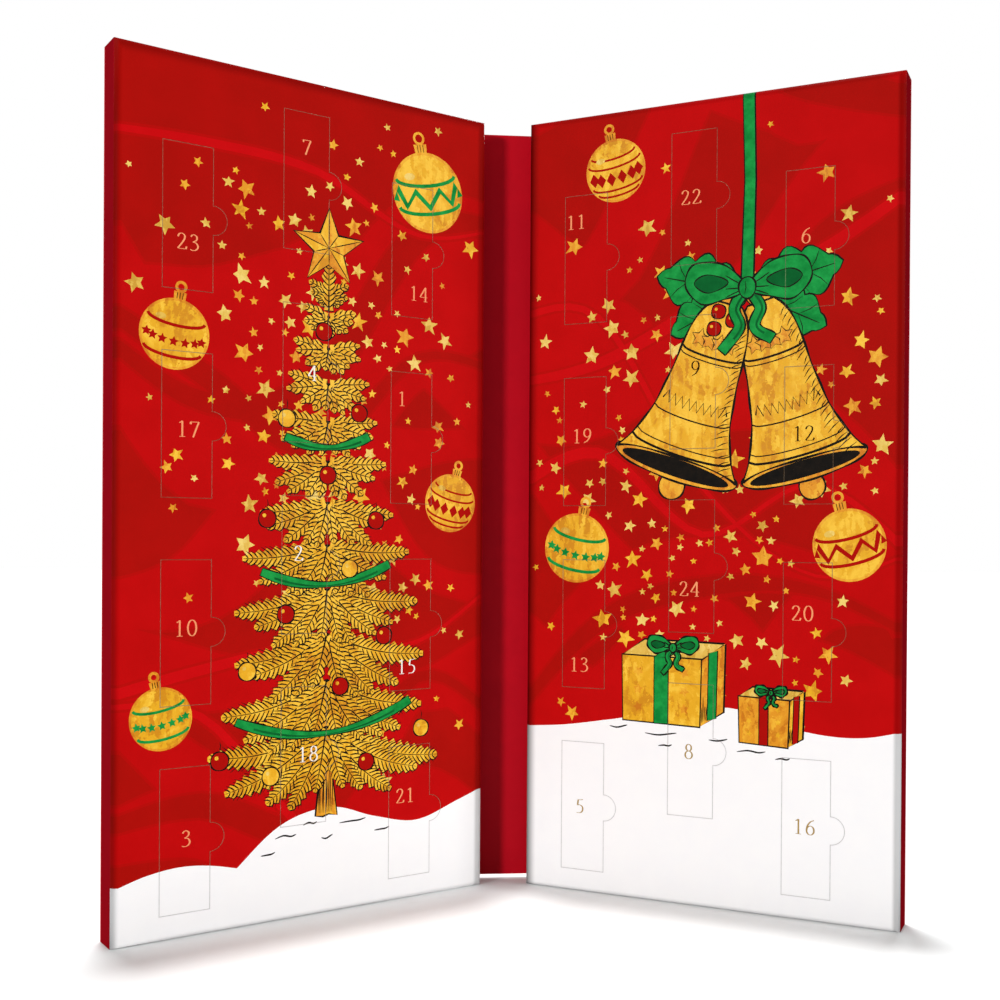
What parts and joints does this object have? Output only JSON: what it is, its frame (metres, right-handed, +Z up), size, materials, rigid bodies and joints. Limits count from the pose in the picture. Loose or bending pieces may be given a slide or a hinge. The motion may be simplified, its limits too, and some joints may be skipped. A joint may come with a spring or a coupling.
{
  "type": "chocolate advent calendar",
  "caption": "Book-style advent calendar of two shallow card cartons on a creased spine, with tabbed numbered doors over chocolate bars, standing open as a V.",
  "frame": {"origin": "middle of the bounding box, on the surface that the calendar stands on", "axes": "+Z up along the doors' folds, -Y towards the viewer, +X to the right along the spine's width"},
  "size_m": [0.3124, 0.0922, 0.336],
  "materials": {
    "printed_card": "satin printed",
    "cover_card": "satin printed",
    "insert_plastic": "satin",
    "chocolate": "satin"
  },
  "bodies": {
    "spine": {"spine_strip": "cover_card"},
    "left_carton": {"carton_front_left": "printed_card", "cover_board_left": "cover_card", "insert_tray_left": "insert_plastic", "chocolate_23": "chocolate", "chocolate_17": "chocolate", "chocolate_10": "chocolate", "chocolate_03": "chocolate", "chocolate_07": "chocolate", "chocolate_04": "chocolate", "chocolate_02": "chocolate", "chocolate_18": "chocolate", "chocolate_14": "chocolate", "chocolate_01": "chocolate", "chocolate_15": "chocolate", "chocolate_21": "chocolate"},
    "door_23": {"door_23": "printed_card"},
    "door_17": {"door_17": "printed_card"},
    "door_10": {"door_10": "printed_card"},
    "door_03": {"door_03": "printed_card"},
    "door_07": {"door_07": "printed_card"},
    "door_04": {"door_04": "printed_card"},
    "door_02": {"door_02": "printed_card"},
    "door_18": {"door_18": "printed_card"},
    "door_14": {"door_14": "printed_card"},
    "door_01": {"door_01": "printed_card"},
    "door_15": {"door_15": "printed_card"},
    "door_21": {"door_21": "printed_card"},
    "right_carton": {"carton_front_right": "printed_card", "cover_board_right": "cover_card", "insert_tray_right": "insert_plastic", "chocolate_11": "chocolate", "chocolate_19": "chocolate", "chocolate_13": "chocolate", "chocolate_05": "chocolate", "chocolate_22": "chocolate", "chocolate_09": "chocolate", "chocolate_24": "chocolate", "chocolate_08": "chocolate", "chocolate_06": "chocolate", "chocolate_12": "chocolate", "chocolate_20": "chocolate", "chocolate_16": "chocolate"},
    "door_11": {"door_11": "printed_card"},
    "door_19": {"door_19": "printed_card"},
    "door_13": {"door_13": "printed_card"},
    "door_05": {"door_05": "printed_card"},
    "door_22": {"door_22": "printed_card"},
    "door_09": {"door_09": "printed_card"},
    "door_24": {"door_24": "printed_card"},
    "door_08": {"door_08": "printed_card"},
    "door_06": {"door_06": "printed_card"},
    "door_12": {"door_12": "printed_card"},
    "door_20": {"door_20": "printed_card"},
    "door_16": {"door_16": "printed_card"}
  },
  "joints": [
    {"name": "left_cover_hinge", "type": "hinge", "parent": "spine", "child": "left_carton", "pos_m": [-0.01575, 0.04572, 0.168], "axis": [0, 0, -1], "range_deg": [-60, 30]},
    {"name": "door_23_fold", "type": "hinge", "parent": "left_carton", "child": "door_23", "pos_m": [-0.13387, -0.03818, 0.27385], "axis": [0, 0, -1], "range_deg": [0, 160]},
    {"name": "door_17_fold", "type": "hinge", "parent": "left_carton", "child": "door_17", "pos_m": [-0.13387, -0.03818, 0.19502], "axis": [0, 0, -1], "range_deg": [0, 160]},
    {"name": "door_10_fold", "type": "hinge", "parent": "left_carton", "child": "door_10", "pos_m": [-0.13387, -0.03818, 0.11618], "axis": [0, 0, -1], "range_deg": [0, 160]},
    {"name": "door_03_fold", "type": "hinge", "parent": "left_carton", "child": "door_03", "pos_m": [-0.13387, -0.03818, 0.03735], "axis": [0, 0, -1], "range_deg": [0, 160]},
    {"name": "door_07_fold", "type": "hinge", "parent": "left_carton", "child": "door_07", "pos_m": [-0.09183, -0.01391, 0.29515], "axis": [0, 0, -1], "range_deg": [0, 160]},
    {"name": "door_04_fold", "type": "hinge", "parent": "left_carton", "child": "door_04", "pos_m": [-0.09183, -0.01391, 0.21845], "axis": [0, 0, -1], "range_deg": [0, 160]},
    {"name": "door_02_fold", "type": "hinge", "parent": "left_carton", "child": "door_02", "pos_m": [-0.09183, -0.01391, 0.14175], "axis": [0, 0, -1], "range_deg": [0, 160]},
    {"name": "door_18_fold", "type": "hinge", "parent": "left_carton", "child": "door_18", "pos_m": [-0.09183, -0.01391, 0.06505], "axis": [0, 0, -1], "range_deg": [0, 160]},
    {"name": "door_14_fold", "type": "hinge", "parent": "left_carton", "child": "door_14", "pos_m": [-0.04978, 0.01037, 0.27385], "axis": [0, 0, -1], "range_deg": [0, 160]},
    {"name": "door_01_fold", "type": "hinge", "parent": "left_carton", "child": "door_01", "pos_m": [-0.04978, 0.01037, 0.19502], "axis": [0, 0, -1], "range_deg": [0, 160]},
    {"name": "door_15_fold", "type": "hinge", "parent": "left_carton", "child": "door_15", "pos_m": [-0.04978, 0.01037, 0.11618], "axis": [0, 0, -1], "range_deg": [0, 160]},
    {"name": "door_21_fold", "type": "hinge", "parent": "left_carton", "child": "door_21", "pos_m": [-0.04978, 0.01037, 0.03735], "axis": [0, 0, -1], "range_deg": [0, 160]},
    {"name": "right_cover_hinge", "type": "hinge", "parent": "spine", "child": "right_carton", "pos_m": [0.01575, 0.04572, 0.168], "axis": [0, 0, 1], "range_deg": [-60, 30]},
    {"name": "door_11_fold", "type": "hinge", "parent": "right_carton", "child": "door_11", "pos_m": [0.02475, 0.02482, 0.27385], "axis": [0, 0, -1], "range_deg": [0, 160]},
    {"name": "door_19_fold", "type": "hinge", "parent": "right_carton", "child": "door_19", "pos_m": [0.02475, 0.02482, 0.19502], "axis": [0, 0, -1], "range_deg": [0, 160]},
    {"name": "door_13_fold", "type": "hinge", "parent": "right_carton", "child": "door_13", "pos_m": [0.02475, 0.02482, 0.11618], "axis": [0, 0, -1], "range_deg": [0, 160]},
    {"name": "door_05_fold", "type": "hinge", "parent": "right_carton", "child": "door_05", "pos_m": [0.02475, 0.02482, 0.03735], "axis": [0, 0, -1], "range_deg": [0, 160]},
    {"name": "door_22_fold", "type": "hinge", "parent": "right_carton", "child": "door_22", "pos_m": [0.0668, 0.00054, 0.29515], "axis": [0, 0, -1], "range_deg": [0, 160]},
    {"name": "door_09_fold", "type": "hinge", "parent": "right_carton", "child": "door_09", "pos_m": [0.0668, 0.00054, 0.21845], "axis": [0, 0, -1], "range_deg": [0, 160]},
    {"name": "door_24_fold", "type": "hinge", "parent": "right_carton", "child": "door_24", "pos_m": [0.0668, 0.00054, 0.14175], "axis": [0, 0, -1], "range_deg": [0, 160]},
    {"name": "door_08_fold", "type": "hinge", "parent": "right_carton", "child": "door_08", "pos_m": [0.0668, 0.00054, 0.06505], "axis": [0, 0, -1], "range_deg": [0, 160]},
    {"name": "door_06_fold", "type": "hinge", "parent": "right_carton", "child": "door_06", "pos_m": [0.10885, -0.02373, 0.27385], "axis": [0, 0, -1], "range_deg": [0, 160]},
    {"name": "door_12_fold", "type": "hinge", "parent": "right_carton", "child": "door_12", "pos_m": [0.10885, -0.02373, 0.19502], "axis": [0, 0, -1], "range_deg": [0, 160]},
    {"name": "door_20_fold", "type": "hinge", "parent": "right_carton", "child": "door_20", "pos_m": [0.10885, -0.02373, 0.11618], "axis": [0, 0, -1], "range_deg": [0, 160]},
    {"name": "door_16_fold", "type": "hinge", "parent": "right_carton", "child": "door_16", "pos_m": [0.10885, -0.02373, 0.03735], "axis": [0, 0, -1], "range_deg": [0, 160]}
  ]
}
